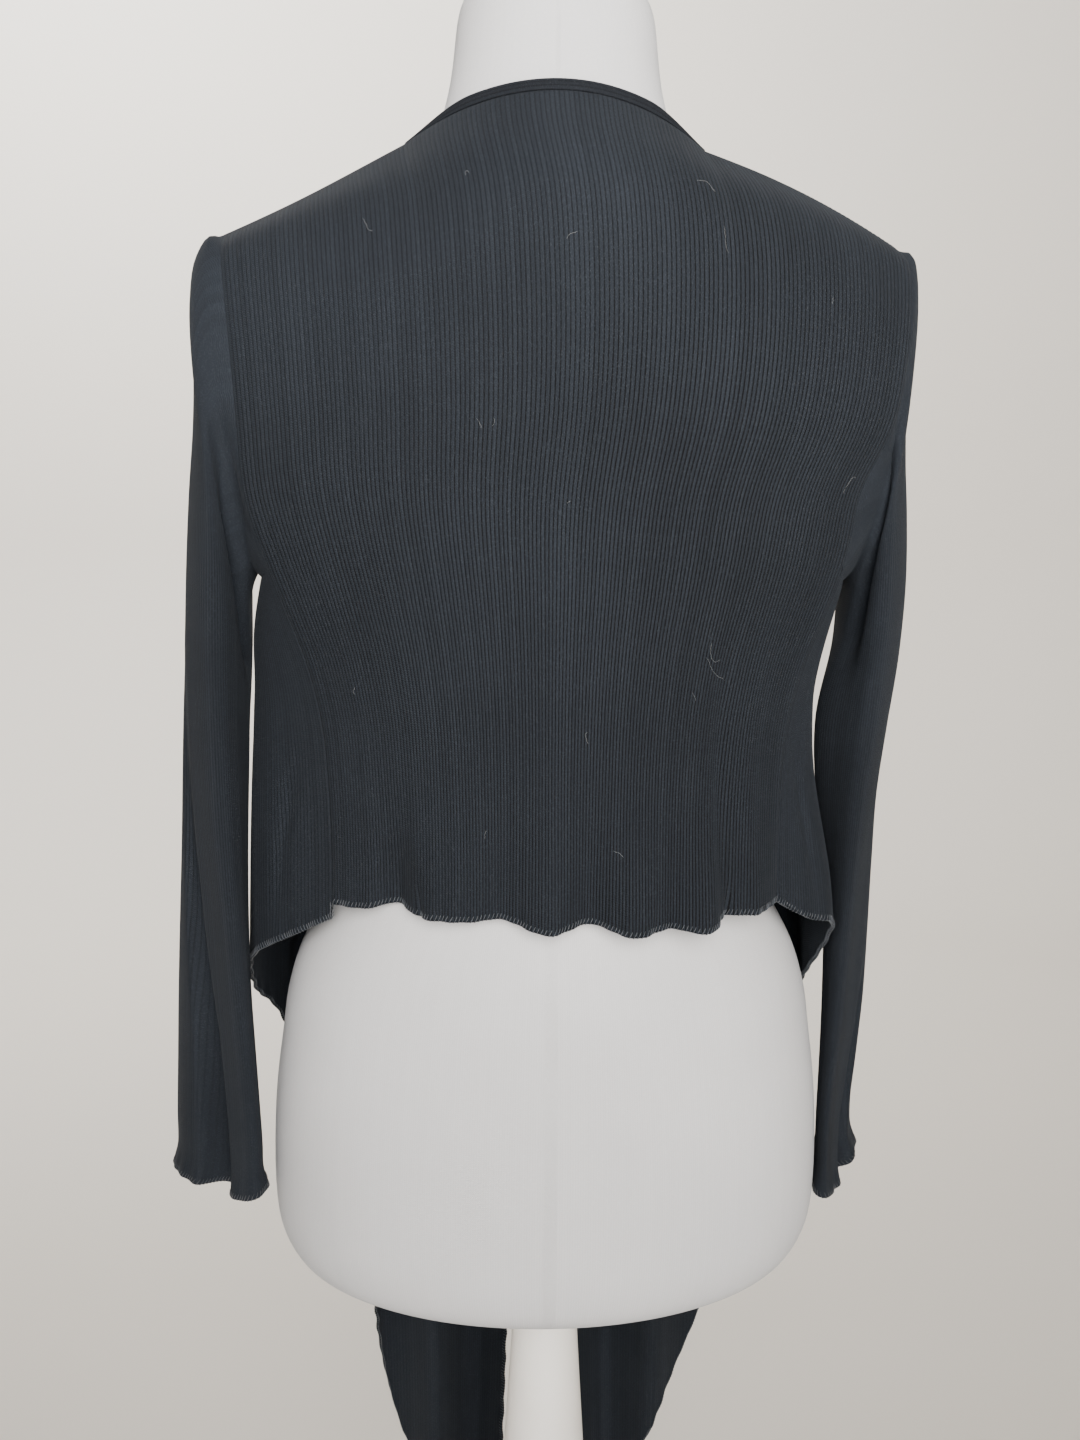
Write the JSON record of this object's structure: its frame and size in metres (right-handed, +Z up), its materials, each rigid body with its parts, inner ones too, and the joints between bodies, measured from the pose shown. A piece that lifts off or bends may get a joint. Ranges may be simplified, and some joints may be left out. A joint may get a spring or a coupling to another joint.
{
  "type": "open cardigan on dress form and stand",
  "caption": "Long-sleeved open-front cardigan in fine rib knit with hanging front tails, worn by a limbless dress form on a turned stand.",
  "frame": {"origin": "centre of the stand base's underside", "axes": "+Z up; the back of the garment faces -Y; +X to the right as seen from behind"},
  "size_m": [0.4551, 0.3385, 1.4965],
  "materials": {
    "rib_knit": "matte fine rib knit",
    "form_cover": "matte jersey",
    "painted_wood": "satin white paint"
  },
  "bodies": {
    "root": {"back_panel": "rib_knit", "front_left": "rib_knit", "front_right": "rib_knit", "sleeve_left": "rib_knit", "sleeve_right": "rib_knit", "neck_band": "rib_knit", "dress_form": "form_cover", "stand_pole": "painted_wood", "stand_base": "painted_wood"}
  },
  "joints": []
}
